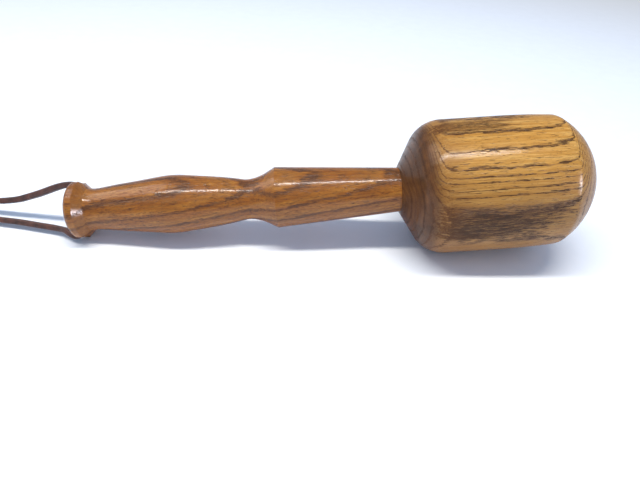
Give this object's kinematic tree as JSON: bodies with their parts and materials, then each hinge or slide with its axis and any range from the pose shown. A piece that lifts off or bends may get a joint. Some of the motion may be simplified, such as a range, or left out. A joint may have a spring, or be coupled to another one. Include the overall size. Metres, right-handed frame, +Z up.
{
  "type": "wooden mallet",
  "caption": "Turned oak mallet with a round domed barrel head, slim waisted handle, flared collar, rounded pommel and a leather wrist and hanging thong.",
  "frame": {"origin": "on the surface the mallet lies on, under the middle of its length (thong included) and under the turning axis", "axes": "+Z up from the surface the mallet lies on; +X from the thong and pommel towards the head, level; +Y across. The turning axis lies in the XZ plane and climbs 5.98 degrees towards +X, because the head is fatter than the pommel."},
  "size_m": [0.4036, 0.0762, 0.0813],
  "materials": {
    "head_oak": "gloss varnish",
    "handle_oak": "gloss varnish",
    "wedge_wood": "satin varnish",
    "thong_leather": "satin"
  },
  "bodies": {
    "mallet": {"head": "head_oak", "handle": "handle_oak", "wedge": "wedge_wood"},
    "thong_root": {"thong_root": "thong_leather"},
    "thong_loop": {"thong_loop": "thong_leather"}
  },
  "joints": [
    {"name": "thong_swing", "type": "hinge", "parent": "mallet", "child": "thong_root", "pos_m": [-0.08982, 0, 0.01629], "axis": [-0.0843, 0.5878, 0.8046], "range_deg": [-12, 12]},
    {"name": "thong_bend", "type": "hinge", "parent": "thong_root", "child": "thong_loop", "pos_m": [-0.10886, 0.00541, 0.01285], "axis": [-0.0878, 0.5399, 0.8371], "range_deg": [-60, 60]}
  ]
}
